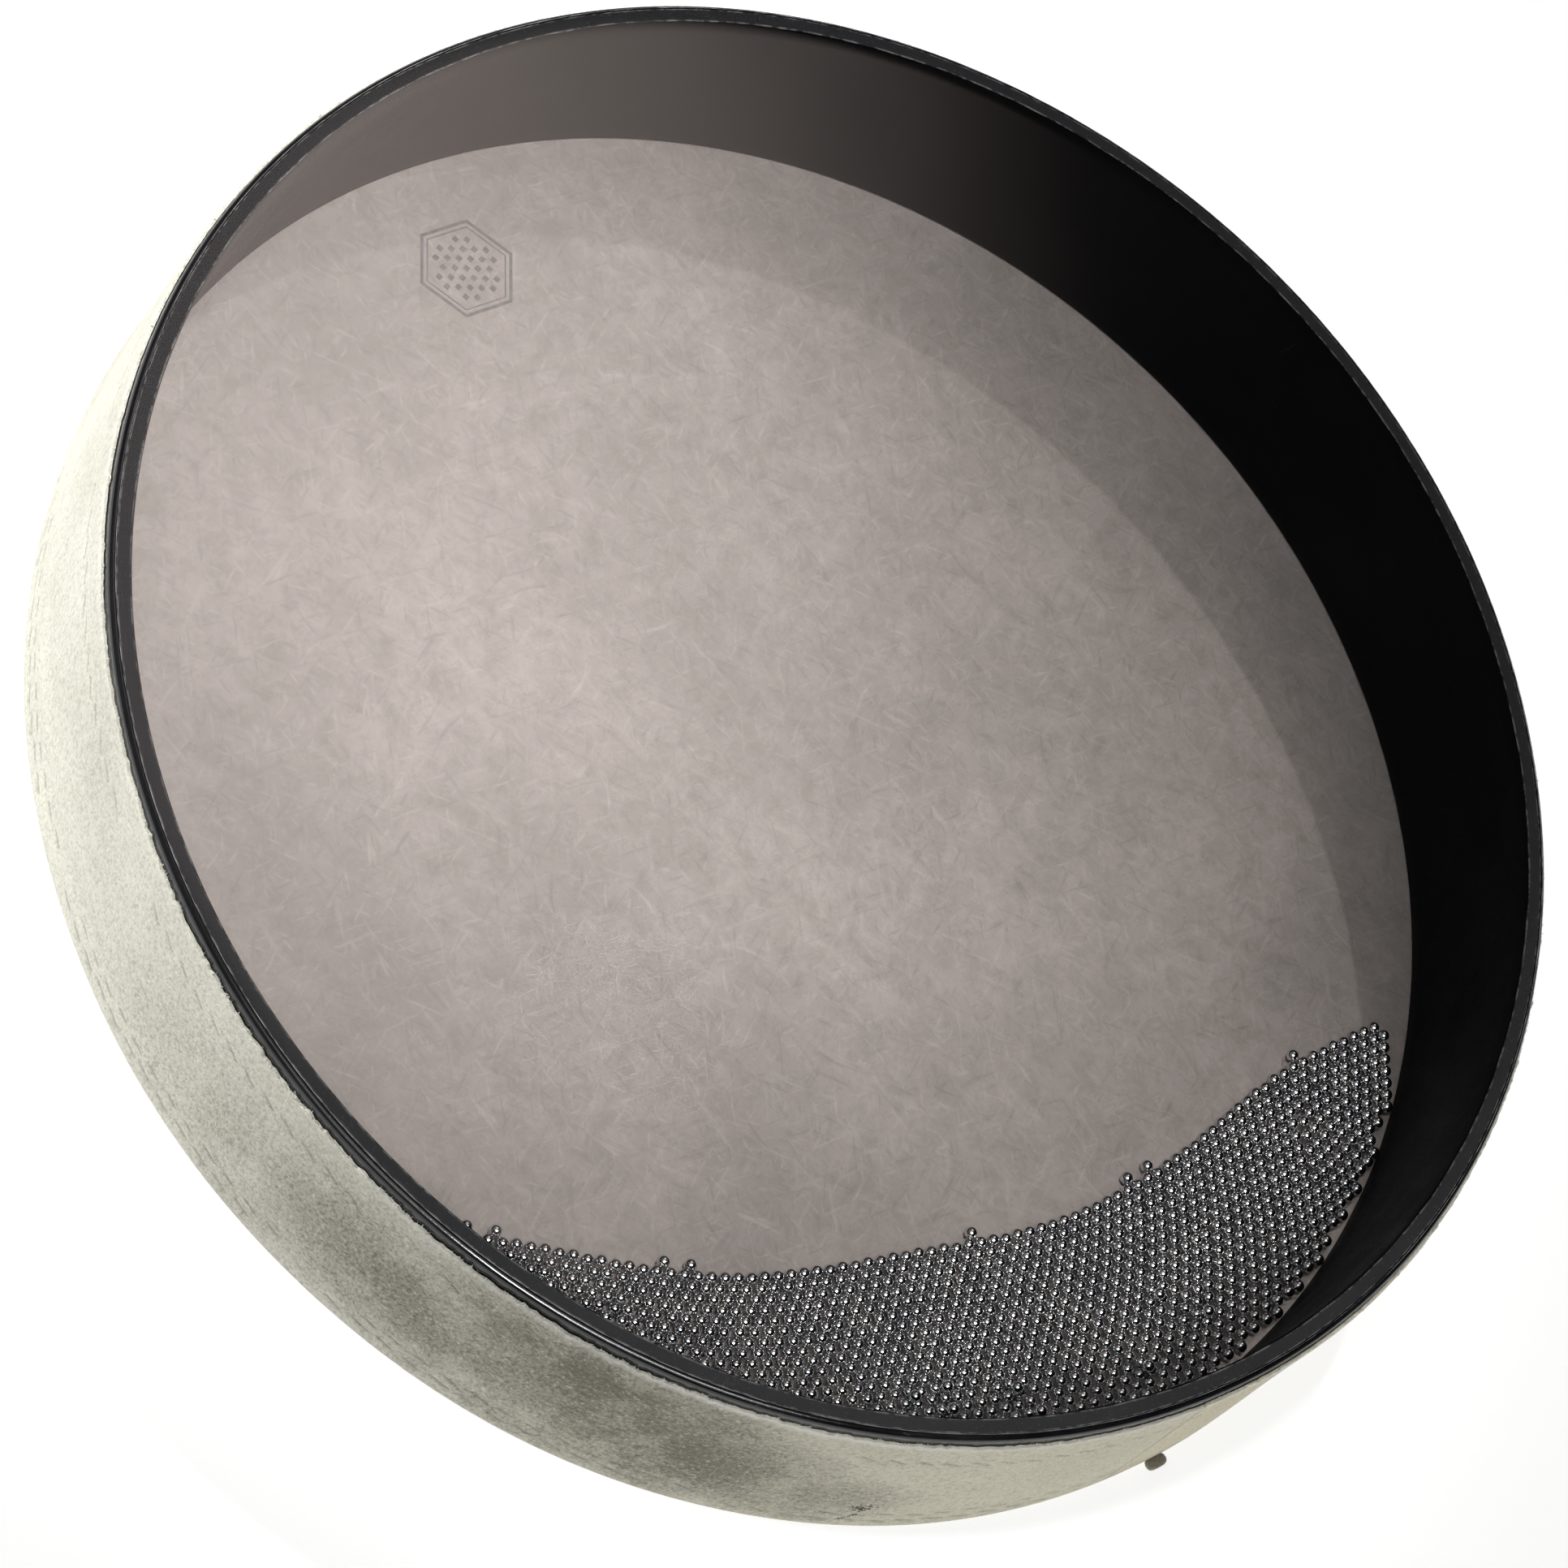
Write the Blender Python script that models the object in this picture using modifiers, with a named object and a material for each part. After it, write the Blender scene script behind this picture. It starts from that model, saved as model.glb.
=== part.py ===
"""Ocean drum: a shallow two-headed frame drum with loose steel balls between its heads.

The drum lies flat. +Z is its axis with the clear head up, and the origin is the middle of
the face that it rests on. All lengths are in metres and all angles in degrees, counted
about +Z from +X.
"""

import math

import bmesh
import bpy

MM = 0.001

# Driving dimensions
SHELL_RADIUS = 203.0 * MM
SHELL_WALL = 6.0 * MM
DRUM_DEPTH = 63.5 * MM
CORNER_RADIUS = 1.5 * MM
FILM_THICKNESS = 0.3 * MM
SKIN_THICKNESS = 0.35 * MM
BOND_THICKNESS = 0.25 * MM
BOND_INSET = 0.4 * MM
LAYER_GAP = 0.15 * MM
WRAP_THICKNESS = 1.0 * MM
WRAP_CLEARANCE = 0.35 * MM
WRAP_FLARE = 0.8 * MM
WRAP_LOW = 0.45 * MM
WRAP_TOP_DROP = 2.6 * MM
WRAP_SKEW = 1.0 * MM
WRAP_SEAM_ANGLE = -74.0
WRAP_SEAM_GAP = 0.5 * MM
TAG_ANGLE = -69.2
TAG_SIZE = (2.6 * MM, 6.5 * MM, 3.0 * MM)
TAG_SOFTENING = 0.9 * MM
BALL_DIAMETER = 3.5 * MM
BALL_GAP = 0.3 * MM
BANK_WALL_GAP = 0.6 * MM
BANK_FILL = 0.6046  # the share of its layer that a close-packed sheet of balls fills
BALL_COUNT = 44
BALL_END_MARGIN = 3.2 * BALL_DIAMETER  # from each end of the free edge to the nearest ball

# Fineness of the meshes
TURN_SEGMENTS = 96
CORNER_STEPS = 3
SHARP_ANGLE = 35.0

# Free edge of the bank of balls, from its left end on the wall to its right end on the wall
BANK_EDGE = [
    (-153.0, -119.0),
    (-100.0, -128.0),
    (-40.0, -140.0),
    (20.0, -135.0),
    (62.0, -128.0),
    (100.0, -112.0),
    (140.0, -88.0),
    (182.0, -72.0),
]
OUTLINE_STEPS = 4  # between two knots of the free edge
PLACING_STEPS = 40
WALL_STEP_ANGLE = 5.0

# Derived places
CHAMBER_RADIUS = SHELL_RADIUS - SHELL_WALL
HEAD_RADIUS = SHELL_RADIUS - CORNER_RADIUS
SHELL_LOW = SKIN_THICKNESS + BOND_THICKNESS + 2 * LAYER_GAP
SHELL_HIGH = DRUM_DEPTH - FILM_THICKNESS - BOND_THICKNESS - 2 * LAYER_GAP
BALL_RADIUS = BALL_DIAMETER / 2
BALL_CENTRE_HEIGHT = SKIN_THICKNESS + BALL_GAP + BALL_RADIUS
BANK_WALL_RADIUS = CHAMBER_RADIUS - BANK_WALL_GAP


def clear_scene():
    for obj in list(bpy.data.objects):
        bpy.data.objects.remove(obj)


def new_collection(name):
    collection = bpy.data.collections.new(name)
    bpy.context.scene.collection.children.link(collection)
    return collection


def make_material(name, colour, roughness, metallic=0.0, alpha=1.0):
    material = bpy.data.materials.new(name)
    material.use_nodes = True
    shader = material.node_tree.nodes["Principled BSDF"]
    shader.inputs["Base Color"].default_value = (*colour, 1.0)
    shader.inputs["Roughness"].default_value = roughness
    shader.inputs["Metallic"].default_value = metallic
    shader.inputs["Alpha"].default_value = alpha
    material.diffuse_color = (*colour, alpha)
    return material


def add_object(name, data, material, parent, location=(0.0, 0.0, 0.0), angle=0.0):
    """One named sub-part, turned by angle about +Z where it stands."""
    obj = bpy.data.objects.new(name, data)
    data.materials.append(material)
    obj.parent = parent
    obj.location = location
    obj.rotation_euler.z = math.radians(angle)
    DRUM.objects.link(obj)
    return obj


def add_empty(name, location=(0.0, 0.0, 0.0), parent=None):
    empty = bpy.data.objects.new(name, None)
    empty.empty_display_size = 20 * MM
    empty.location = location
    empty.parent = parent
    DRUM.objects.link(empty)
    return empty


def finish_mesh(bm, name, smooth=True):
    mesh = bpy.data.meshes.new(name)
    bm.to_mesh(mesh)
    bm.free()
    if smooth:
        mesh.shade_smooth()
        mesh.set_sharp_from_angle(angle=math.radians(SHARP_ANGLE))
    return mesh


def on_circle(radius, angle):
    return radius * math.cos(math.radians(angle)), radius * math.sin(math.radians(angle))


def quarter_round(centre_x, centre_z, radius, start, end):
    """Points of an arc in the X-Z plane, from one angle to another."""
    steps = range(CORNER_STEPS + 1)
    angles = [math.radians(start + (end - start) * i / CORNER_STEPS) for i in steps]
    return [(centre_x + radius * math.cos(a), centre_z + radius * math.sin(a)) for a in angles]


def turned_ring(name, profile, material, parent):
    """A closed profile at +X, running down its outer side, turned about the drum's axis."""
    bm = bmesh.new()
    verts = [bm.verts.new((x, 0.0, z)) for x, z in profile]
    for first, second in zip(verts, verts[1:] + verts[:1]):
        bm.edges.new((first, second))
    obj = add_object(name, finish_mesh(bm, name, smooth=False), material, parent)
    screw = obj.modifiers.new("turn", "SCREW")
    screw.steps = TURN_SEGMENTS
    screw.render_steps = TURN_SEGMENTS
    screw.use_merge_vertices = True
    screw.merge_threshold = 0.00001
    screw.use_smooth_shade = True
    return obj


def flat_disc(name, radius, low, high, material, parent):
    """A head: a thin round film that lies flat."""
    bm = bmesh.new()
    bmesh.ops.create_cone(
        bm,
        cap_ends=True,
        segments=TURN_SEGMENTS,
        radius1=radius,
        radius2=radius,
        depth=high - low,
    )
    return add_object(name, finish_mesh(bm, name), material, parent, (0.0, 0.0, (low + high) / 2))


def make_shell(material, parent):
    """The black hoop. Its upper outer corner is round, and its inner edges are square."""
    corner_x = SHELL_RADIUS - CORNER_RADIUS
    upper = quarter_round(corner_x, SHELL_HIGH - CORNER_RADIUS, CORNER_RADIUS, 90, 0)
    lower = quarter_round(corner_x, SHELL_LOW + CORNER_RADIUS, CORNER_RADIUS, 0, -90)
    inner = [(CHAMBER_RADIUS, SHELL_LOW), (CHAMBER_RADIUS, SHELL_HIGH)]
    return turned_ring("shell", upper + lower + inner, material, parent)


def make_bond(name, low, material, parent):
    """A flat ring of adhesive between the hoop's edge and a head."""
    outer = HEAD_RADIUS - BOND_INSET
    inner = CHAMBER_RADIUS + BOND_INSET
    high = low + BOND_THICKNESS
    profile = [(outer, high), (outer, low), (inner, low), (inner, high)]
    return turned_ring(name, profile, material, parent)


def make_outer_wrap(material, parent):
    """A strip wound once round the hoop. Its ends meet at an upright seam, a little apart.

    The strip flares towards its lower edge, and its upper edge climbs along the turn, so
    that the two ends stand at different heights.
    """
    bm = bmesh.new()
    low_radius = SHELL_RADIUS + WRAP_CLEARANCE + WRAP_FLARE
    high_radius = SHELL_RADIUS + WRAP_CLEARANCE
    bmesh.ops.create_cone(
        bm,
        cap_ends=False,
        segments=TURN_SEGMENTS,
        radius1=low_radius,
        radius2=high_radius,
        depth=1.0,
    )
    gap_angle = math.degrees(WRAP_SEAM_GAP / high_radius)
    columns = sorted(bm.verts, key=lambda v: (round(math.atan2(v.co.y, v.co.x), 4), v.co.z))
    first = {*columns[:2]}
    last = {*columns[-2:]}
    seam_faces = [f for f in bm.faces if first & {*f.verts} and last & {*f.verts}]
    bmesh.ops.delete(bm, geom=seam_faces, context="FACES_ONLY")
    for index, vert in enumerate(columns):
        share = (index // 2) / (TURN_SEGMENTS - 1)
        angle = WRAP_SEAM_ANGLE + gap_angle / 2 + (360.0 - gap_angle) * share
        at_top = vert.co.z > 0
        radius = high_radius if at_top else low_radius
        top = SHELL_HIGH - WRAP_TOP_DROP + WRAP_SKEW * (0.5 - share)
        vert.co = (*on_circle(radius, angle), top if at_top else WRAP_LOW)
    obj = add_object("outer_wrap", finish_mesh(bm, "outer_wrap"), material, parent)
    solid = obj.modifiers.new("thickness", "SOLIDIFY")
    solid.thickness = WRAP_THICKNESS
    solid.offset = 1.0
    return obj


def make_wrap_tag(material, parent):
    """A small lump of the wrap, pinched out over the lower edge beside the seam."""
    wrap_outside = SHELL_RADIUS + WRAP_CLEARANCE + WRAP_FLARE + WRAP_THICKNESS
    reach = wrap_outside + LAYER_GAP + TAG_SIZE[0] / 2
    bm = bmesh.new()
    bmesh.ops.create_cube(bm, size=1.0)
    bmesh.ops.scale(bm, vec=TAG_SIZE, verts=bm.verts)
    place = (*on_circle(reach, TAG_ANGLE), WRAP_LOW + TAG_SIZE[2] / 2)
    obj = add_object("wrap_tag", finish_mesh(bm, "wrap_tag"), material, parent, place, TAG_ANGLE)
    bevel = obj.modifiers.new("soft_edges", "BEVEL")
    bevel.width = TAG_SOFTENING
    bevel.segments = 2
    return obj


def smooth_through(knots, steps):
    """A Catmull-Rom curve through the knots, with its ends held."""
    ends = [knots[0]] + knots + [knots[-1]]
    points = []
    for a, b, c, d in zip(ends, ends[1:], ends[2:], ends[3:]):
        for step in range(steps):
            t = step / steps
            weights = (
                -0.5 * t + t**2 - 0.5 * t**3,
                1.0 - 2.5 * t**2 + 1.5 * t**3,
                0.5 * t + 2.0 * t**2 - 1.5 * t**3,
                -0.5 * t**2 + 0.5 * t**3,
            )
            points.append(
                tuple(sum(w * k[axis] for w, k in zip(weights, (a, b, c, d))) for axis in (0, 1))
            )
    return points + [knots[-1]]


def free_edge(steps):
    return smooth_through([(x * MM, y * MM) for x, y in BANK_EDGE], steps)


def wall_arc(start, end):
    """Points of the bank's side against the hoop, just inside the ends of its free edge."""
    count = max(2, round(abs(end - start) / WALL_STEP_ANGLE))
    inner = [start + (end - start) * i / count for i in range(1, count)]
    return [on_circle(BANK_WALL_RADIUS, angle) for angle in inner]


def make_ball_bank(material, parent):
    """The bank of loose balls as one flat solid.

    It has the bank's outline and the balls' middle height, and it is as thick as the
    metal of the balls would be if it were spread evenly.
    """
    edge = free_edge(OUTLINE_STEPS)
    angle_of = [math.degrees(math.atan2(y, x)) for x, y in (edge[-1], edge[0])]
    outline = edge + wall_arc(angle_of[0], angle_of[1])
    curve = bpy.data.curves.new("ball_bank", "CURVE")
    curve.dimensions = "2D"
    curve.fill_mode = "BOTH"
    curve.extrude = BALL_DIAMETER * BANK_FILL / 2
    spline = curve.splines.new("POLY")
    spline.points.add(len(outline) - 1)
    for point, (x, y) in zip(spline.points, outline):
        point.co = (x, y, 0.0, 1.0)
    spline.use_cyclic_u = True
    return add_object("ball_bank", curve, material, parent, (0.0, 0.0, BALL_CENTRE_HEIGHT))


def lead_ball_places():
    """Centres of the balls that stand at the bank's free edge, evenly spread along it."""
    edge = free_edge(PLACING_STEPS)
    lengths = [0.0]
    for (x0, y0), (x1, y1) in zip(edge, edge[1:]):
        lengths.append(lengths[-1] + math.hypot(x1 - x0, y1 - y0))
    places = []
    for number in range(BALL_COUNT):
        wanted = BALL_END_MARGIN + (lengths[-1] - 2 * BALL_END_MARGIN) * number / (BALL_COUNT - 1)
        i = next(k for k in range(1, len(lengths)) if lengths[k] >= wanted)
        (x0, y0), (x1, y1) = edge[i - 1], edge[i]
        run = math.hypot(x1 - x0, y1 - y0)
        share = (wanted - lengths[i - 1]) / run
        out = BALL_RADIUS + BALL_GAP
        nx, ny = -(y1 - y0) / run, (x1 - x0) / run
        places.append((x0 + (x1 - x0) * share + nx * out, y0 + (y1 - y0) * share + ny * out))
    return places


def make_lead_balls(material, parent):
    bm = bmesh.new()
    bmesh.ops.create_icosphere(bm, subdivisions=2, radius=BALL_RADIUS)
    mesh = finish_mesh(bm, "steel_ball", smooth=False)
    mesh.shade_smooth()
    mesh.materials.append(material)
    for number, (x, y) in enumerate(lead_ball_places(), start=1):
        ball = bpy.data.objects.new(f"steel_ball_{number:02d}", mesh)
        ball.parent = parent
        ball.location = (x, y, BALL_CENTRE_HEIGHT)
        DRUM.objects.link(ball)


clear_scene()
DRUM = new_collection("ocean_drum")

black_fibre = make_material("black_fibre", (0.020, 0.020, 0.022), 0.38)
adhesive = make_material("adhesive", (0.45, 0.43, 0.38), 0.55)
clear_film = make_material("clear_film", (0.92, 0.93, 0.94), 0.08, alpha=0.25)
skin_film = make_material("skin_film", (0.56, 0.51, 0.47), 0.55)
cream_fibre = make_material("cream_fibre", (0.80, 0.77, 0.64), 0.90)
tag_fibre = make_material("tag_fibre", (0.40, 0.37, 0.29), 0.90)
steel = make_material("steel", (0.62, 0.62, 0.63), 0.16, metallic=1.0)

body = add_empty("drum_body")
swirl_axis = add_empty("bank_swirl_axis")

make_shell(black_fibre, body)
make_bond("upper_bond", SHELL_HIGH + LAYER_GAP, adhesive, body)
make_bond("lower_bond", SKIN_THICKNESS + LAYER_GAP, adhesive, body)
flat_disc("clear_head", HEAD_RADIUS, DRUM_DEPTH - FILM_THICKNESS, DRUM_DEPTH, clear_film, body)
flat_disc("skin_head", HEAD_RADIUS, 0.0, SKIN_THICKNESS, skin_film, body)
make_outer_wrap(cream_fibre, body)
make_wrap_tag(tag_fibre, body)
make_ball_bank(steel, swirl_axis)
make_lead_balls(steel, swirl_axis)
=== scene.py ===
"""Ocean drum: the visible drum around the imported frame, on a pale studio floor.

Lengths are in metres. Angles are in degrees, about the drum's axis from +X, unless a name
says otherwise. Every piece is made in the frame's own coordinates and rides on a body.
"""

import heapq
import math

import bmesh
import bpy
import numpy as np
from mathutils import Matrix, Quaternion, Vector, kdtree


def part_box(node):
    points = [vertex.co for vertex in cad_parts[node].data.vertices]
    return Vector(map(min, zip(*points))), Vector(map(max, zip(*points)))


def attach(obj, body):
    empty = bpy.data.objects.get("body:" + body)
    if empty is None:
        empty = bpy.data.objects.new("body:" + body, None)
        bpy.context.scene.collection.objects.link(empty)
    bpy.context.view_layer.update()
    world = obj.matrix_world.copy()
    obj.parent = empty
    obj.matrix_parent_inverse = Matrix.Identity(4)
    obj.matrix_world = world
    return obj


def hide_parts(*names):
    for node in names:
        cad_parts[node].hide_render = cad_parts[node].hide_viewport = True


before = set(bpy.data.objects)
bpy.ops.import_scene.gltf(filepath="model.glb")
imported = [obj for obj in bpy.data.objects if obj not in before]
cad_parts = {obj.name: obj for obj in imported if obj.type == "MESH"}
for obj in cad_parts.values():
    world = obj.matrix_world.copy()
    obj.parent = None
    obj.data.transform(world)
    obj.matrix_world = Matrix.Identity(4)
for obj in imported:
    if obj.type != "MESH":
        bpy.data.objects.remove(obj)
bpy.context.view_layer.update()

MM = 0.001

# Sizes that the frame gives
SHELL_LOW_CORNER, SHELL_HIGH_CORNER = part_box("shell")
SHELL_RADIUS = SHELL_HIGH_CORNER.x
SHELL_LOW = SHELL_LOW_CORNER.z
SHELL_HIGH = SHELL_HIGH_CORNER.z
FILM_LOW, FILM_HIGH = (corner.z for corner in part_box("clear_head"))
SKIN_LOW, SKIN_HIGH = (corner.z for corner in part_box("skin_head"))
HEAD_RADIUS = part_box("clear_head")[1].x
BOND_LOW, BOND_HIGH = (corner.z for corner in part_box("upper_bond"))
BOND_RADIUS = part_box("upper_bond")[1].x
WRAP_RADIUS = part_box("outer_wrap")[1].y
WRAP_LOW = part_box("outer_wrap")[0].z
WRAP_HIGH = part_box("outer_wrap")[1].z
BALL_RADIUS = (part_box("steel_ball_01")[1].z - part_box("steel_ball_01")[0].z) / 2
BALL_HEIGHT = (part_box("steel_ball_01")[1].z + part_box("steel_ball_01")[0].z) / 2

# Sizes of details
SHELL_WALL = 6.0 * MM
CORNER_RADIUS = 1.5 * MM
EDGE_ROUND = 0.25 * MM
WALL_SEAM_ANGLE = 129.6
WALL_SEAM_DEPTH = 0.25 * MM
TURN_STEPS = 384
WRAP_THICKNESS = 1.0 * MM
WRAP_FLARE = 0.8 * MM
WRAP_SKEW = 1.0 * MM
WRAP_SEAM_ANGLE = -74.0
WRAP_SEAM_GAP = 0.5 * MM
WRAP_COLUMNS = 1200
DASH_DEPTH = 0.32 * MM
DASH_HALF_WIDTH = 0.62 * MM
TUFT_COUNT = 4200
SPECK_ANGLE, SPECK_HEIGHT, SPECK_SPREAD = -95.8, 14.5 * MM, 3.4 * MM
# How unevenly the wrap's upper edge is torn, and how far it lies below the CAD wrap's, in mm
WRAP_TEAR, WRAP_TRIM = 1.25, 0.70
# Half the width in degrees of the change of tone at the wrap's seam
SEAM_BLUR = 0.4
# Rows of embossed dashes: height at the row's middle, length, pitch, fall along a dash, begin
DASH_ROWS = [
    (47.9 * MM, 6.4 * MM, 7.7 * MM, 2.7 * MM, 0.0),
    (9.4 * MM, 5.6 * MM, 8.1 * MM, 1.1 * MM, 2.0 * MM),
    (5.2 * MM, 6.8 * MM, 8.1 * MM, 1.3 * MM, 0.0),
]
# Soiled places on the wrap, which also stand for painted shade between -100 and -150 degrees: angle,
# height, reach along the turn in degrees, reach in height, depth
SOIL_AND_SHADE_PATCHES = [
    (-120.0, 44.0 * MM, 18.0, 26.0 * MM, 1.00),
    (-113.0, 26.0 * MM, 16.0, 30.0 * MM, 1.00),
    (-132.0, 30.0 * MM, 20.0, 32.0 * MM, 0.72),
    (-147.0, 22.0 * MM, 18.0, 30.0 * MM, 0.30),
    (-103.0, 18.0 * MM, 12.0, 20.0 * MM, 0.60),
    (-122.0, 10.0 * MM, 20.0, 12.0 * MM, 0.50),
    (40.0, 30.0 * MM, 14.0, 16.0 * MM, 0.35),
    (95.0, 20.0 * MM, 20.0, 14.0 * MM, 0.30),
]
MARK_CENTRE = (-59.0 * MM, 153.7 * MM)
MARK_RADIUS = 15.5 * MM
MARK_TURN = 20.0
# The mark's frames (outer and inner radius) and the step of its grid, in shares of its radius
MARK_FRAMES = ((1.0, 0.93), (0.86, 0.83))
MARK_GRID = 0.22
# How far apart balls lie, in ball diameters, and the least room between them and the wall
BALL_PITCH_SHARE = 1.01
WALL_CLEARANCE = 0.05 * MM
# How far out of order the bank settles, in pitches, how far balls between two leading ones may
# lie back, and how many places ahead of the leading ones are tried
BANK_DISORDER = 0.04
BANK_EDGE_DIP = 0.5 * MM
BANK_STRAYS = 20
# The part of the bank that is two balls deep: first and last angle, and least radius
DEEP_FROM, DEEP_TO, DEEP_RADIUS = -118.0, -58.0, 168 * MM
BALL_GROUPS = 8
ROLLING_BALLS = {"a": 9, "b": 18, "c": 27, "d": 36}

INNER_RADIUS = SHELL_RADIUS - SHELL_WALL


# Small helpers for places and meshes

def on_circle(radius, angle):
    return radius * math.cos(math.radians(angle)), radius * math.sin(math.radians(angle))


def towards(azimuth, elevation):
    """The unit vector that points from the drum to this azimuth and elevation."""
    x, y = on_circle(math.cos(math.radians(elevation)), azimuth)
    return Vector((x, y, math.sin(math.radians(elevation))))


def in_scene(name, data):
    obj = bpy.data.objects.new(name, data)
    bpy.context.scene.collection.objects.link(obj)
    return obj


def mesh_object(name, vertices, faces, materials, smooth=True):
    """A mesh object. faces is a list of tuples, or an array with one row to a face."""
    mesh = bpy.data.meshes.new(name)
    mesh.from_pydata([tuple(v) for v in vertices], [], [tuple(f) for f in faces])
    mesh.validate()
    obj = in_scene(name, mesh)
    for material in materials:
        mesh.materials.append(material)
    if smooth:
        mesh.shade_smooth()
    return obj


def keep_sharp(obj, angle=35.0):
    """Edges that bend by more than the angle stay sharp under smooth shading."""
    obj.data.set_sharp_from_angle(angle=math.radians(angle))
    return obj


def place_piece(obj, body, slot, *stands_for):
    """Make a piece ride on a body and hide the CAD nodes that it stands for. The slot argument is not
    used.
    """
    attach(obj, body)
    if stands_for:
        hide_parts(*stands_for)
    return obj


def arc(centre, radius, start, end, steps=6):
    """Points of a round corner in the plane of radius and height, between two angles."""
    turn = [math.radians(start + (end - start) * i / steps) for i in range(steps + 1)]
    return [(centre[0] + radius * math.cos(a), centre[1] + radius * math.sin(a)) for a in turn]


def turned(name, profile, materials, nudge=None, angles=None, row_slots=None):
    """A closed ring: the profile of (radius, height) points turned about the drum's axis.

    nudge(angle, radius, height) returns how far a point moves outwards. row_slots gives the
    material slot of the faces that follow each point of the profile.
    """
    angles = angles or [360.0 * i / TURN_STEPS for i in range(TURN_STEPS)]
    count, vertices = len(profile), []
    for angle in angles:
        for radius, height in profile:
            moved = radius + (nudge(angle, radius, height) if nudge else 0.0)
            vertices.append((*on_circle(moved, angle), height))
    faces, slots = [], []
    for column in range(len(angles)):
        here, there = column * count, (column + 1) % len(angles) * count
        for row in range(count):
            after = (row + 1) % count
            faces.append((here + row, there + row, there + after, here + after))
            slots.append(row_slots[row] if row_slots else 0)
    obj = mesh_object(name, vertices, faces, materials)
    obj.data.polygons.foreach_set("material_index", slots)
    return keep_sharp(obj)


def disc(name, radius, low, high, edge_round, materials, slot_of_edge=0, rings=24):
    """A round film with a soft edge, in concentric rings, so that its faces stay compact."""
    radii = [radius * (i + 1) / rings for i in range(rings)]
    radii[-1] = radius - edge_round
    side = arc((radius - edge_round, high - edge_round), edge_round, 90, 0, 3)[1:]
    side += arc((radius - edge_round, low + edge_round), edge_round, 0, -90, 3)[:-1]
    profile = [(r, high) for r in radii] + side + [(r, low) for r in reversed(radii)]
    vertices = [(0.0, 0.0, high), (0.0, 0.0, low)]
    for step in range(TURN_STEPS):
        angle = 360.0 * step / TURN_STEPS
        vertices += [(*on_circle(r, angle), z) for r, z in profile]
    count, faces, slots = len(profile), [], []
    for step in range(TURN_STEPS):
        here, there = 2 + step * count, 2 + (step + 1) % TURN_STEPS * count
        faces.append((0, here, there))
        faces.append((1, there + count - 1, here + count - 1))
        slots += [0, 0]
        for row in range(count - 1):
            faces.append((here + row, here + row + 1, there + row + 1, there + row))
            at_edge = rings - 1 <= row < count - rings
            slots.append(slot_of_edge if at_edge else 0)
    obj = mesh_object(name, vertices, faces, materials)
    obj.data.polygons.foreach_set("material_index", slots)
    return keep_sharp(obj, 50.0)


# Node materials

def feed(tree, socket, value):
    """Link a socket, or set its value."""
    if isinstance(value, bpy.types.NodeSocket):
        tree.links.new(value, socket)
    elif socket.type == "RGBA":
        socket.default_value = (*value, 1.0)
    else:
        socket.default_value = value


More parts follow.
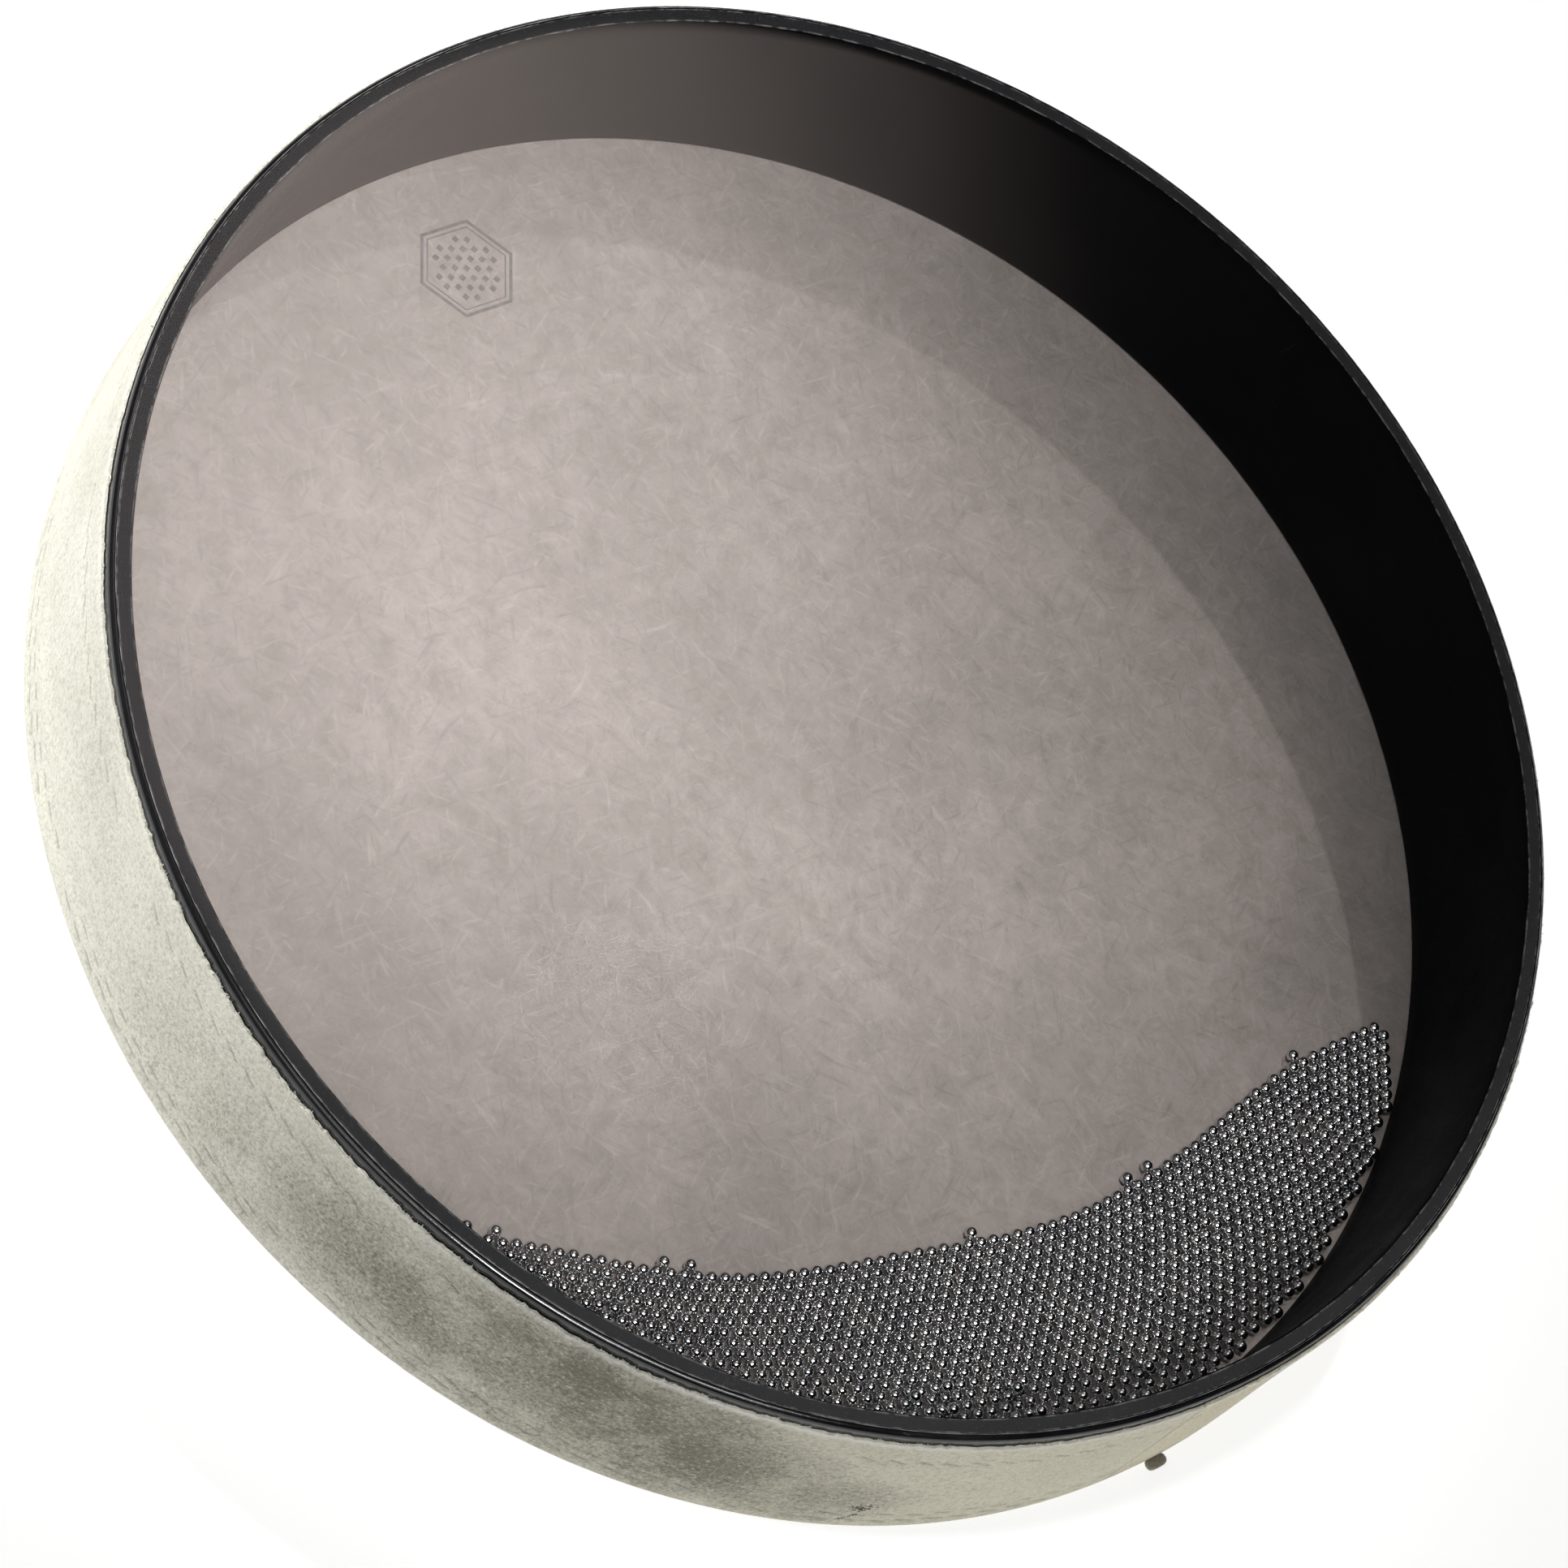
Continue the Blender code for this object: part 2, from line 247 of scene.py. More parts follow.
class Surface:
    """A node material under construction, with short names for the nodes that it uses."""

    def __init__(self, name, **settings):
        self.material = bpy.data.materials.new(name)
        self.material.use_nodes = True
        self.tree = self.material.node_tree
        self.shader = self.tree.nodes["Principled BSDF"]
        self.out = self.tree.nodes["Material Output"]
        self.place = self.add("TexCoord").outputs["Object"]
        for socket, value in settings.items():
            self.set(socket.replace("_", " ").title().replace("Ior", "IOR"), value)

    def add(self, kind, inputs=None, **settings):
        node = self.tree.nodes.new("ShaderNode" + kind)
        for key, value in settings.items():
            setattr(node, key, value)
        for key, value in (inputs or {}).items():
            self.feed(node.inputs[key], value)
        return node

    def feed(self, socket, value):
        feed(self.tree, socket, value)

    def set(self, name, value):
        self.feed(self.shader.inputs[name], value)

    def math(self, operation, first, second=0.0, clamp=False):
        inputs = {0: first, 1: second}
        return self.add("Math", inputs, operation=operation, use_clamp=clamp).outputs[0]

    def brushed(self, scale, squeeze, turn, detail=3.0, distortion=0.0):
        """Noise drawn out along one direction in the plane of the heads, turned by an angle."""
        mapping = self.add("Mapping", {"Vector": self.place}, vector_type="TEXTURE")
        mapping.inputs["Rotation"].default_value = (0.0, 0.0, turn)
        mapping.inputs["Scale"].default_value = (squeeze, 1.0, 1.0)
        return self.noise(scale, detail, 0.6, mapping.outputs["Vector"], distortion)

    def stretch(self, scale, where=None):
        mapping = self.add("Mapping", {"Vector": where or self.place, "Scale": scale})
        return mapping.outputs["Vector"]

    def noise(self, scale, detail=3.0, roughness=0.55, where=None, distortion=0.0):
        inputs = {"Vector": where or self.place, "Scale": scale, "Detail": detail}
        inputs |= {"Roughness": roughness, "Distortion": distortion}
        return self.add("TexNoise", inputs).outputs["Fac"]

    def cells(self, scale, where=None, feature="F1"):
        inputs = {"Vector": where or self.place, "Scale": scale}
        return self.add("TexVoronoi", inputs, feature=feature).outputs["Distance"]

    def span(self, value, low, high, to_low=0.0, to_high=1.0):
        """value taken from low..high to to_low..to_high, held at both ends."""
        inputs = {"Value": value, "From Min": low, "From Max": high}
        inputs |= {"To Min": to_low, "To Max": to_high}
        return self.add("MapRange", inputs, clamp=True).outputs["Result"]

    def mix(self, share, first, second):
        node = self.add("Mix", data_type="RGBA")
        self.feed(node.inputs[0], share)
        self.feed(node.inputs[6], first)
        self.feed(node.inputs[7], second)
        return node.outputs[2]

    def bump(self, height, distance, strength=1.0, over=None):
        inputs = {"Height": height, "Distance": distance, "Strength": strength}
        if over is not None:
            inputs["Normal"] = over
        return self.add("Bump", inputs).outputs["Normal"]

    def parts_of_place(self):
        node = self.add("SeparateXYZ", {"Vector": self.place})
        return node.outputs["X"], node.outputs["Y"], node.outputs["Z"]

    def radius(self):
        x, y, _ = self.parts_of_place()
        squares = self.math("ADD", self.math("MULTIPLY", x, x), self.math("MULTIPLY", y, y))
        return self.math("SQRT", squares)

    def round_the_drum(self, depth=1.0):
        """Coordinates that run along the turn and up, in metres, for a pattern on the hoop."""
        x, y, z = self.parts_of_place()
        turn = self.math("ARCTAN2", y, x)
        along = self.math("MULTIPLY", turn, SHELL_RADIUS)
        parts = {"X": along, "Y": z, "Z": self.math("MULTIPLY", self.radius(), depth)}
        return self.add("CombineXYZ", parts).outputs["Vector"]


def hoop_wall_material():
    """Black fibre inside the drum: almost no shine, with faint wear along the turn."""
    s = Surface("black_hoop_wall", specular_ior_level=0.03)
    fine = s.noise(900.0, 4.0)
    wide = s.noise(35.0, 3.0)
    along = s.noise(60.0, 5.0, where=s.stretch((1.0, 1.0, 14.0), s.round_the_drum()))
    black = s.mix(s.span(wide, 0.35, 0.7), (0.0006, 0.0007, 0.0009), (0.0013, 0.0014, 0.0016))
    flecks = s.span(s.cells(700.0), 0.05, 0.0)
    black = s.mix(s.span(along, 0.62, 0.75, 0.0, 0.3), black, (0.005, 0.005, 0.006))
    s.set("Base Color", s.mix(s.math("MULTIPLY", flecks, 0.4), black, (0.05, 0.05, 0.055)))
    s.set("Roughness", s.span(s.math("ADD", fine, along), 0.8, 1.3, 0.45, 0.60))
    s.set("Normal", s.bump(s.math("ADD", fine, along), 0.06 * MM, 0.35))
    return s.material


def hoop_corner_material():
    """Black lacquer on the hoop's rounded rim and outside: glossy, with small chips and scuffs."""
    s = Surface("black_hoop_rim", specular_ior_level=0.6)
    fine = s.noise(900.0, 4.0)
    wide = s.noise(35.0, 3.0)
    drawn_out = s.stretch((0.35, 1.0, 1.0), s.round_the_drum())
    chips = s.span(s.noise(420.0, 4.0, 0.65, where=drawn_out), 0.66, 0.72)
    black = s.mix(s.span(wide, 0.35, 0.7), (0.0050, 0.0052, 0.0060), (0.0110, 0.0112, 0.0122))
    s.set("Base Color", s.mix(s.math("MULTIPLY", chips, 0.6), black, (0.16, 0.16, 0.155)))
    s.set("Roughness", s.span(s.math("ADD", fine, wide), 0.7, 1.3, 0.07, 0.24))
    s.set("Normal", s.bump(s.math("ADD", fine, wide), 0.10 * MM, 0.30))
    return s.material


def glue_line_material():
    """Dark speckled band under the clear head, with a pale line painted along each edge as a highlight
    of the film there.
    """
    s = Surface("speckled_glue_line", specular_ior_level=0.4)
    speckle = s.span(s.cells(1500.0), 0.28, 0.05)
    chosen = s.span(s.noise(800.0, 2.0), 0.50, 0.66)
    grain = s.noise(2200.0, 2.0)
    dark = s.mix(s.span(grain, 0.3, 0.7), (0.006, 0.0065, 0.0075), (0.018, 0.019, 0.021))
    spotted = s.mix(s.math("MULTIPLY", speckle, chosen), dark, (0.11, 0.115, 0.12))
    radius = s.radius()
    # Painted highlights: a pale line along the band's inner and outer edges, where the film shines.
    inner_edge_highlight = s.span(radius, INNER_RADIUS + 0.95 * MM, INNER_RADIUS + 0.5 * MM)
    outer_edge_highlight = s.span(radius, BOND_RADIUS - 0.35 * MM, BOND_RADIUS - 0.05 * MM)
    edge = s.math("MAXIMUM", inner_edge_highlight, outer_edge_highlight)
    broken = s.span(s.noise(420.0, 3.0), 0.42, 0.60)
    share = s.math("MULTIPLY", s.math("MULTIPLY", edge, broken), 0.55)
    s.set("Base Color", s.mix(share, spotted, (0.30, 0.30, 0.29)))
    s.set("Roughness", s.span(grain, 0.3, 0.7, 0.5, 0.8))
    s.set("Normal", s.bump(grain, 0.08 * MM, 0.6))
    return s.material


def film_material():
    """Clear polyester film: see-through, with a sharp reflection, fine scratches and a little haze."""
    s = Surface("clear_film")
    front = s.math("SUBTRACT", 1.0, s.add("NewGeometry").outputs["Backfacing"])
    fresnel = s.add("Fresnel", {"IOR": 1.62}).outputs["Fac"]
    lines = []
    for scale, turn in ((1500.0, 0.5), (1300.0, 1.9), (1700.0, 2.7)):
        lines.append(s.span(s.brushed(scale, 60.0, turn, 1.0), 0.80, 0.83))
    scratch = s.math("MAXIMUM", s.math("MAXIMUM", lines[0], lines[1]), lines[2])
    haze = s.span(s.noise(14.0, 4.0, 0.6), 0.35, 0.75, 0.0, 0.0015)
    soft = s.math("ADD", s.math("MULTIPLY", scratch, 0.02), haze)
    gloss = s.add("BsdfGlossy", {"Color": (1.0, 1.0, 1.0), "Roughness": 0.07})
    bent = s.bump(s.noise(9.0, 2.0), 2.0 * MM, 0.06)
    s.feed(gloss.inputs["Normal"], bent)
    dull = s.add("BsdfDiffuse", {"Color": (0.80, 0.80, 0.80)})
    clear = s.add("BsdfTransparent", {"Color": (0.985, 0.985, 0.985)})
    hazy = s.add("MixShader")
    s.feed(hazy.inputs[0], s.math("MULTIPLY", soft, front))
    s.feed(hazy.inputs[1], clear.outputs[0])
    s.feed(hazy.inputs[2], dull.outputs[0])
    mirrored = s.add("MixShader")
    over_glue = s.span(s.radius(), INNER_RADIUS + 0.3 * MM, INNER_RADIUS + 0.7 * MM, 1.9, 0.35)
    strength = s.math("MULTIPLY", fresnel, over_glue)
    s.feed(mirrored.inputs[0], s.math("MULTIPLY", strength, front, clamp=True))
    s.feed(mirrored.inputs[1], hazy.outputs[0])
    s.feed(mirrored.inputs[2], gloss.outputs[0])
    s.feed(s.out.inputs["Surface"], mirrored.outputs[0])
    return s.material


def film_edge_material():
    """The film's cut edge, where light inside the film comes out."""
    s = Surface("film_cut_edge", roughness=0.35)
    broken = s.span(s.noise(260.0, 3.0), 0.38, 0.62)
    s.set("Base Color", s.mix(broken, (0.05, 0.05, 0.055), (0.42, 0.42, 0.43)))
    return s.material


def skin_material():
    """Fibre-laminated film: taupe, cloudy, with short pale and dark fibres and a satin sheen."""
    s = Surface("skin_film", specular_ior_level=0.28)
    cloud = s.noise(11.0, 6.0, 0.6)
    patch = s.noise(120.0, 7.0, 0.7, distortion=0.5)
    grit = s.noise(900.0, 3.0, 0.6)
    pale_fibres, dark_fibres = None, None
    for scale, turn in ((620.0, 0.3), (560.0, 0.9), (680.0, 1.5), (600.0, 2.1), (640.0, 2.7)):
        field = s.brushed(scale, 7.0, turn, 2.0, 0.5)
        pale, dark = s.span(field, 0.60, 0.76), s.span(field, 0.40, 0.24)
        pale_fibres = pale if pale_fibres is None else s.math("MAXIMUM", pale_fibres, pale)
        dark_fibres = dark if dark_fibres is None else s.math("MAXIMUM", dark_fibres, dark)
    base = s.mix(s.span(cloud, 0.32, 0.66), (0.285, 0.252, 0.236), (0.395, 0.348, 0.326))
    base = s.mix(s.span(patch, 0.40, 0.70, 0.0, 0.60), base, (0.225, 0.206, 0.184))
    base = s.mix(s.math("MULTIPLY", pale_fibres, 0.24), base, (0.56, 0.52, 0.47))
    base = s.mix(s.math("MULTIPLY", dark_fibres, 0.30), base, (0.15, 0.14, 0.135))
    base = s.mix(s.span(grit, 0.60, 0.74, 0.0, 0.30), base, (0.17, 0.165, 0.16))
    s.set("Base Color", base)
    s.set("Roughness", s.span(patch, 0.3, 0.7, 0.36, 0.50))
    s.set("Normal", s.bump(s.math("ADD", pale_fibres, patch), 0.05 * MM, 0.5))
    return s.material


def mark_material():
    """Worn dark print."""
    s = Surface("faded_print", roughness=0.55)
    worn = s.span(s.noise(520.0, 4.0), 0.35, 0.7)
    s.set("Base Color", s.mix(worn, (0.135, 0.128, 0.125), (0.20, 0.188, 0.180)))
    return s.material


def wrap_material():
    """Cream suede-like fibre sheet: speckled, soiled in places with painted shade mixed in between
    -100 and -150 degrees, dark inside its embossed dashes.
    """
    s = Surface("cream_fibre", roughness=0.92, specular_ior_level=0.15)
    s.set("Sheen Weight", 0.25)
    s.set("Sheen Roughness", 0.6)
    grain = s.noise(1250.0, 3.0, 0.6)
    nap = s.noise(640.0, 4.0, 0.7)
    blotch = s.noise(26.0, 4.0, 0.6)
    along = s.noise(70.0, 4.0, 0.6, where=s.stretch((0.12, 1.0, 1.0), s.round_the_drum()))
    cream = s.mix(s.span(blotch, 0.35, 0.7), (0.76, 0.745, 0.64), (0.64, 0.62, 0.52))
    cream = s.mix(s.span(along, 0.5, 0.72, 0.0, 0.35), cream, (0.86, 0.84, 0.70))
    x, y, z = s.parts_of_place()
    turn = s.math("MULTIPLY", s.math("ARCTAN2", y, x), 180.0 / math.pi)
    before, after = WRAP_SEAM_ANGLE - SEAM_BLUR, WRAP_SEAM_ANGLE + SEAM_BLUR
    past_seam = s.math("MULTIPLY", s.span(turn, before, after), s.span(turn, -20.0, -40.0))
    growing = s.span(turn, -135.0, -84.0, 0.0, 0.55)
    before_seam = s.math("MULTIPLY", growing, s.span(turn, after, before))
    yellowed = s.math("MAXIMUM", s.math("MULTIPLY", past_seam, 0.85), before_seam)
    cream = s.mix(yellowed, cream, (0.74, 0.68, 0.46))
    # Dark patches: real soiling, and between -100 and -150 degrees also painted shade.
    soil_and_shade = None
    for angle, height, wide, high, depth in SOIL_AND_SHADE_PATCHES:
        across = s.math("MULTIPLY", s.math("SUBTRACT", turn, angle), 1.0 / wide)
        upward = s.math("MULTIPLY", s.math("SUBTRACT", z, height), 1.0 / high)
        far = s.math("ADD", s.math("POWER", across, 2.0), s.math("POWER", upward, 2.0))
        near = s.math("MULTIPLY", s.span(far, 1.0, 0.0), depth)
        soil_and_shade = near if soil_and_shade is None else s.math("MAXIMUM", soil_and_shade, near)
    soil_and_shade = s.math("MULTIPLY", soil_and_shade, s.span(s.noise(60.0, 4.0), 0.15, 0.55))
    cream = s.mix(soil_and_shade, cream, (0.180, 0.169, 0.112))
    pits = s.span(s.math("ADD", grain, nap), 1.02, 0.80)
    pitted = s.math("MULTIPLY", pits, s.math("ADD", s.math("MULTIPLY", soil_and_shade, 0.75), 0.30))
    cream = s.mix(pitted, cream, (0.13, 0.12, 0.085))
    nibs = s.span(s.math("ADD", grain, nap), 1.08, 1.30)
    cream = s.mix(s.math("MULTIPLY", nibs, 0.5), cream, (0.93, 0.91, 0.80))
    dash = s.add("Attribute", attribute_name="dash").outputs["Fac"]
    cream = s.mix(s.math("MULTIPLY", dash, 0.75), cream, (0.22, 0.23, 0.18))
    fray = s.add("Attribute", attribute_name="fray").outputs["Fac"]
    combed_from = s.span(turn, -138.0, -112.0, 0.15, 0.8)
    combed_to = s.span(turn, -30.0, -55.0, 0.3, 1.0)
    combed = s.math("MULTIPLY", combed_from, combed_to)
    cream = s.mix(s.math("MULTIPLY", fray, combed), cream, (0.95, 0.94, 0.87))
    s.set("Base Color", cream)
    soft = s.bump(nap, 0.45 * MM, 0.75)
    s.set("Normal", s.bump(grain, 0.15 * MM, 0.6, over=soft))
    return s.material


def fibre_material(name, light, dark):
    """Fibre between a light and a dark tone."""
    s = Surface(name, roughness=0.85)
    s.set("Sheen Weight", 0.2)
    s.set("Base Color", s.mix(s.span(s.noise(900.0, 3.0), 0.3, 0.7), light, dark))
    s.set("Normal", s.bump(s.noise(1500.0, 3.0), 0.1 * MM, 0.5))
    return s.material


def ink_material():
    """Dry black ink."""
    s = Surface("ink", roughness=0.6)
    s.set("Base Color", s.mix(s.noise(2500.0, 2.0), (0.008, 0.008, 0.008), (0.03, 0.03, 0.028)))
    return s.material


def steel_material():
    """Polished steel with fine scuffs from rolling."""
    s = Surface("polished_steel", metallic=1.0)
    tone = s.noise(160.0, 1.0)
    s.set("Base Color", s.mix(s.span(tone, 0.3, 0.7), (0.62, 0.635, 0.66), (0.78, 0.785, 0.79)))
    scuffs = s.noise(2600.0, 3.0, 0.7)
    s.set("Roughness", s.span(scuffs, 0.35, 0.75, 0.07, 0.20))
    s.set("Normal", s.bump(scuffs, 0.02 * MM, 0.25))
    return s.material


def bond_material():
    """Cured glue."""
    s = Surface("cured_adhesive", roughness=0.5)
    s.set("Base Color", s.mix(s.noise(700.0, 3.0), (0.32, 0.30, 0.24), (0.50, 0.47, 0.40)))
    s.set("Normal", s.bump(s.noise(500.0, 3.0), 0.1 * MM, 0.6))
    return s.material


# The hoop and the heads

def make_hoop(wall, rim):
    """The black hoop: lacquered outside and at the rim, matt inside, with an upright seam."""
    corner = SHELL_RADIUS - CORNER_RADIUS
    inside = INNER_RADIUS + EDGE_ROUND
    outside = arc((corner, SHELL_HIGH - CORNER_RADIUS), CORNER_RADIUS, 90, 0, 8)
    outside += arc((corner, SHELL_LOW + CORNER_RADIUS), CORNER_RADIUS, 0, -90, 5)
    profile = outside + arc((inside, SHELL_LOW + EDGE_ROUND), EDGE_ROUND, 270, 180, 2)
    profile += [(INNER_RADIUS, SHELL_LOW + (SHELL_HIGH - SHELL_LOW) * k / 12) for k in range(1, 12)]
    profile += arc((inside, SHELL_HIGH - EDGE_ROUND), EDGE_ROUND, 180, 90, 2)
    seam = [WALL_SEAM_ANGLE + shift for shift in (-0.14, -0.05, 0.0, 0.05, 0.14)]
    plain = [360.0 * i / TURN_STEPS for i in range(TURN_STEPS)]
    clear = [a for a in plain if abs(a - WALL_SEAM_ANGLE) > 0.3]

    def nudge(angle, radius, height):
        on_wall = radius < INNER_RADIUS + 0.01 * MM
        in_seam = abs(angle - WALL_SEAM_ANGLE) < 0.06
        return WALL_SEAM_DEPTH if on_wall and in_seam else 0.0

    slots = [1 if row <= len(outside) else 0 for row in range(len(profile))]
    hoop = turned("black_hoop", profile, [wall, rim], nudge, sorted(clear + seam), slots)
    place_piece(hoop, "drum", "black_fibre", "shell")


def make_glue_line(material):
    """The band of glue that shows through the clear head, a little uneven at its inner edge."""
    inner = INNER_RADIUS + 0.45 * MM
    profile = [
        (BOND_RADIUS, BOND_HIGH),
        (BOND_RADIUS, BOND_LOW),
        (inner, BOND_LOW),
        (inner, BOND_HIGH),
        (inner + 0.5 * MM, BOND_HIGH),
        (BOND_RADIUS - 0.5 * MM, BOND_HIGH),
    ]

    def nudge(angle, radius, height):
        turn = math.radians(angle)
        wave = math.sin(37 * turn) + math.sin(61 * turn + 1.3) + math.sin(113 * turn + 0.4)
        return 0.05 * MM * wave if radius <= inner else 0.0

    ring = turned("glue_line_upper", profile, [material], nudge)
    place_piece(ring, "drum", "adhesive", "upper_bond")


def make_heads(film, film_edge, skin):
    clear = disc("clear_head_film", HEAD_RADIUS, FILM_LOW, FILM_HIGH, 0.06 * MM, [film, film_edge], 1)
    place_piece(clear, "drum", "clear_film", "clear_head")
    lower = disc("skin_head_film", HEAD_RADIUS, SKIN_LOW, SKIN_HIGH, 0.08 * MM, [skin])
    place_piece(lower, "drum", "skin_film", "skin_head")


def make_mark(material):
    """A plain printed mark: a six-sided frame round a grid of small diamonds."""
    low, high = SKIN_HIGH + 0.02 * MM, SKIN_HIGH + 0.05 * MM
    vertices, faces = [], []

    def prism(outline):
        start, count = len(vertices), len(outline)
        vertices.extend((x, y, z) for z in (low, high) for x, y in outline)
        faces.append(tuple(start + i for i in reversed(range(count))))
        faces.append(tuple(start + count + i for i in range(count)))
        for i in range(count):
            j = (i + 1) % count
            faces.append((start + i, start + j, start + count + j, start + count + i))

    def polygon(centre, radius, sides, turn):
        corners = [on_circle(radius, turn + 360.0 * i / sides) for i in range(sides)]
        return [(centre[0] + x, centre[1] + y) for x, y in corners]

    for outer, inner in MARK_FRAMES:
        rim = polygon(MARK_CENTRE, MARK_RADIUS * outer, 6, MARK_TURN)
        hole = polygon(MARK_CENTRE, MARK_RADIUS * inner, 6, MARK_TURN)
        for i in range(6):
            j = (i + 1) % 6
            prism([rim[i], rim[j], hole[j], hole[i]])
    step = MARK_RADIUS * MARK_GRID
    for row in range(-3, 4):
        for column in range(-3, 4):
            x = MARK_CENTRE[0] + step * (column + 0.5 * (row % 2))
            y = MARK_CENTRE[1] + step * 0.87 * row
            if math.hypot(x - MARK_CENTRE[0], y - MARK_CENTRE[1]) < MARK_RADIUS * 0.64:
                prism(polygon((x, y), step * 0.34, 4, 0.0))
    mark = mesh_object("printed_mark", vertices, faces, [material], smooth=False)
    place_piece(mark, "drum", "skin_film")


# The wrap

def wrap_share(angle):
    """How far round the strip a place is, from 0 at the seam to 1 back at the seam."""
    return ((angle - WRAP_SEAM_ANGLE) % 360.0) / 360.0


def wrap_top(angle):
    """The height of the strip's upper edge, which falls a little along the turn and is torn."""
    turn = math.radians(angle)
    torn = sum(math.sin(k * turn + 0.37 * k) for k in (23, 57, 131, 197, 263, 331, 409, 467)) / 8
    return WRAP_HIGH - WRAP_SKEW * wrap_share(angle) + (WRAP_TEAR * torn - WRAP_TRIM) * MM


def wrap_outside(angle, share_up):
    """The outer radius of the strip, share_up from its lower edge to its upper one."""
    turn = math.radians(angle)
    flare = WRAP_FLARE * (1.0 - share_up) ** 1.4
    wave = 0.10 * math.sin(5 * turn + 1.0) * share_up + 0.07 * math.sin(11 * turn + 7 * share_up)
    return WRAP_RADIUS - WRAP_FLARE - 0.15 * MM + flare + wave * MM


def dash_depth(angle, height):
    """1 at the middle of an embossed dash and 0 away from every dash."""
    along = wrap_share(angle) * 2 * math.pi * WRAP_RADIUS
    deepest = 0.0
    for middle, length, pitch, fall, begin in DASH_ROWS:
        number = math.floor((along - begin) / pitch)
        if math.sin(number * 12.9898 + middle * 4321.0) > 0.82:
            continue
        place = along - begin - number * pitch
        if place > length:
            continue
        drift = 0.35 * MM * math.sin(number * 2.3 + middle * 900.0)
        line = middle + drift + fall * (0.5 - place / length)
        off = abs(height - line) / DASH_HALF_WIDTH
        ends = min(place, length - place) / (1.0 * MM)
        deepest = max(deepest, max(0.0, 1.0 - off) * min(1.0, ends))
    return deepest


def wrap_heights():
    """Shares of the strip's height for its rows of vertices, closer where dashes run."""
    shares, height = [], 0.0
    whole = WRAP_HIGH - WRAP_LOW
    while height < whole - 0.2 * MM:
        shares.append(height / whole)
        fine = 3.0 * MM < height < 11.5 * MM or 44.5 * MM < height < 51.0 * MM
        height += 0.42 * MM if fine else 2.1 * MM
    return shares + [1.0]


def make_wrap(material):
    """The strip round the hoop. Its "dash" and "fray" attributes steer the material's colour."""
    shares = wrap_heights()
    gap = math.degrees(WRAP_SEAM_GAP / WRAP_RADIUS)
    vertices, faces, dashes, frays = [], [], [], []
    inside = [1.0, 0.7, 0.35, 0.0]
    rows = len(shares) + len(inside)
    for column in range(WRAP_COLUMNS + 1):
        angle = WRAP_SEAM_ANGLE + gap / 2 + (360.0 - gap) * column / WRAP_COLUMNS
        top = wrap_top(angle)
        for share in shares:
            height = WRAP_LOW + (top - WRAP_LOW) * share
            dash = dash_depth(angle, height)
            radius = wrap_outside(angle, share) - DASH_DEPTH * dash
            if share in (0.0, 1.0):
                radius -= 0.2 * MM
            vertices.append((*on_circle(radius, angle), height))
            dashes.append(dash)
            frays.append(max(0.0, 1.0 - (top - height) / (1.6 * MM)))
        for share in inside:
            height = WRAP_LOW + (top - WRAP_LOW) * share
            radius = wrap_outside(angle, share) - WRAP_THICKNESS
            vertices.append((*on_circle(radius, angle), height))
            dashes.append(0.0)
            frays.append(0.0)
    for column in range(WRAP_COLUMNS):
        here, there = column * rows, (column + 1) * rows
        for row in range(rows):
            after = (row + 1) % rows
            faces.append((here + row, there + row, there + after, here + after))
    last = WRAP_COLUMNS * rows
    faces.append(tuple(reversed(range(rows))))
    faces.append(tuple(last + i for i in range(rows)))
    wrap = mesh_object("cream_wrap", vertices, faces, [material])
    for name, values in (("dash", dashes), ("fray", frays)):
        attribute = wrap.data.attributes.new(name, "FLOAT", "POINT")
        attribute.data.foreach_set("value", np.array(values, np.float32))
    keep_sharp(wrap, 50.0)
    return place_piece(wrap, "drum", "cream_fibre", "outer_wrap")


def make_tufts(material):
    """Torn fibres that stand up along the wrap's upper edge."""
    rng = np.random.default_rng(11)
    vertices, faces = [], []
    for _ in range(TUFT_COUNT):
        angle = WRAP_SEAM_ANGLE + rng.uniform(0.3, 359.7)
        place = math.radians(angle)
        busy = 0.5 + 0.5 * math.sin(place * 29.0 + 2.0 * math.sin(place * 7.0))
        length = (0.40 + 0.80 * rng.random() * (0.35 + busy)) * MM
        width = rng.uniform(0.08, 0.17) * MM
        radius = wrap_outside(angle, 1.0) - rng.uniform(0.15, 0.95) * WRAP_THICKNESS
        foot = Vector((*on_circle(radius, angle), wrap_top(angle) - 0.15 * MM))
        outward = Vector((*on_circle(1.0, angle), 0.0))
        sideways = Vector((-outward.y, outward.x, 0.0))
        lean = outward * rng.normal(-0.05, 0.35) + sideways * rng.normal(0.0, 0.55)
        lean += Vector((0, 0, 1))
        lean.normalize()
        bend = foot + lean * length * 0.55
        tip = bend + (lean + sideways * rng.normal(0.0, 0.5)).normalized() * length * 0.5
        start = len(vertices)
        for middle, shrink in ((foot, 1.0), (bend, 0.6)):
            for turn in (0.0, 120.0, 240.0):
                cosine, sine = on_circle(1.0, turn)
                spread = outward * cosine + sideways * sine
                vertices.append(middle + spread * width * shrink)
        vertices.append(tip)
        faces.append((start + 2, start + 1, start))
        for i in range(3):
            j = (i + 1) % 3
            faces.append((start + i, start + j, start + 3 + j, start + 3 + i))
            faces.append((start + 3 + i, start + 3 + j, start + 6))
    tufts = mesh_object("wrap_edge_fibres", vertices, faces, [material])
    return place_piece(tufts, "drum", "cream_fibre")


